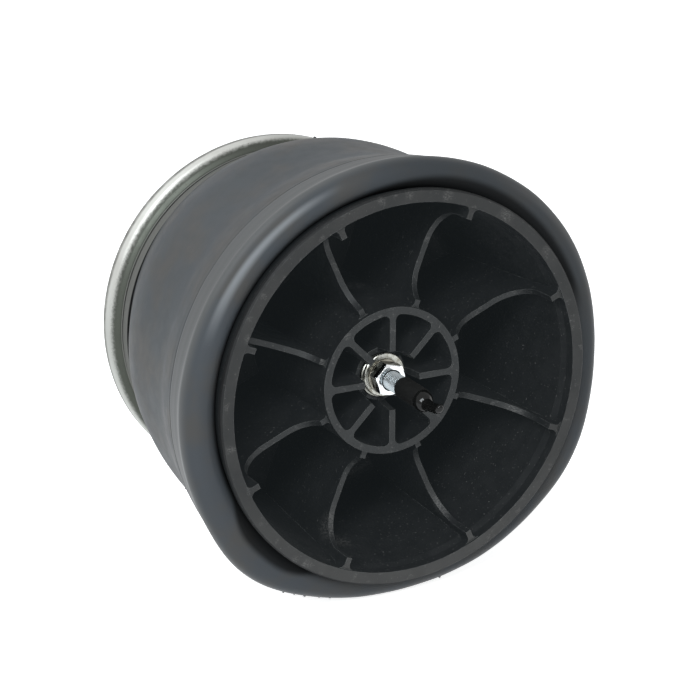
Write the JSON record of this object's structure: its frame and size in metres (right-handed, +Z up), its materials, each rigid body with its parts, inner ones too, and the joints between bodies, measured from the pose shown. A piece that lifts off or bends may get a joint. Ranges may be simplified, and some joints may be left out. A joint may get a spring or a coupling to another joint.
{
  "type": "air suspension spring",
  "caption": "Rolling lobe air spring: ribbed plastic piston with a capped centre stud, folded rubber bellows and a crimped steel top plate with studs and an air port.",
  "frame": {"origin": "on the spring's axis, in the plane of the piston's base ring, where the lower stud leaves the piston", "axes": "+Y along the spring's axis, from the piston's open base towards the top plate; +Z up with the spring lying on its side; the air port is on the -Z side of the axis"},
  "size_m": [0.2854, 0.281, 0.2854],
  "materials": {
    "piston_plastic": "moulded, matte, charcoal",
    "bellows_rubber": "vulcanised rubber, matte grey-black",
    "bump_rubber": "moulded rubber, matte black",
    "seal_rubber": "smooth rubber, black",
    "plate_steel": "zinc plated sheet, satin",
    "lid_steel": "zinc plated sheet, satin",
    "stud_steel": "zinc plated thread",
    "nut_zinc": "bright zinc plated",
    "washer_zinc": "yellow passivated zinc",
    "port_steel": "turned, zinc plated",
    "wire_steel": "bronze coated wire",
    "cap_plastic": "soft vinyl, glossy black"
  },
  "bodies": {
    "piston_unit": {"piston": "piston_plastic", "centre_stud": "stud_steel", "stud_seal": "seal_rubber", "closure_plate": "lid_steel", "bump_stop": "bump_rubber", "rear_washer": "washer_zinc", "front_washer": "washer_zinc", "hex_nut": "nut_zinc", "lower_bead_wire": "wire_steel"},
    "plate_unit": {"top_plate": "plate_steel", "stud_left": "stud_steel", "stud_right": "stud_steel", "air_port": "port_steel", "upper_bead_wire": "wire_steel"},
    "bellows_unit": {"bellows": "bellows_rubber"},
    "cap_unit": {"thread_cap": "cap_plastic"}
  },
  "joints": [
    {"name": "stroke", "type": "slide", "parent": "piston_unit", "child": "plate_unit", "axis": [0, 1, 0], "range_m": [-0.018, 0.18], "stiffness_N_per_m": 1500},
    {"name": "fold_travel", "type": "slide", "parent": "plate_unit", "child": "bellows_unit", "axis": [0, 1, 0], "range_m": [-0.09, 0.009], "deforming": ["bellows"]},
    {"name": "cap_pull", "type": "slide", "parent": "piston_unit", "child": "cap_unit", "axis": [0, -1, 0], "range_m": [0, 0.06]}
  ],
  "couplings": [
    {"joint": "fold_travel", "follows": "stroke", "ratio": -0.5}
  ]
}
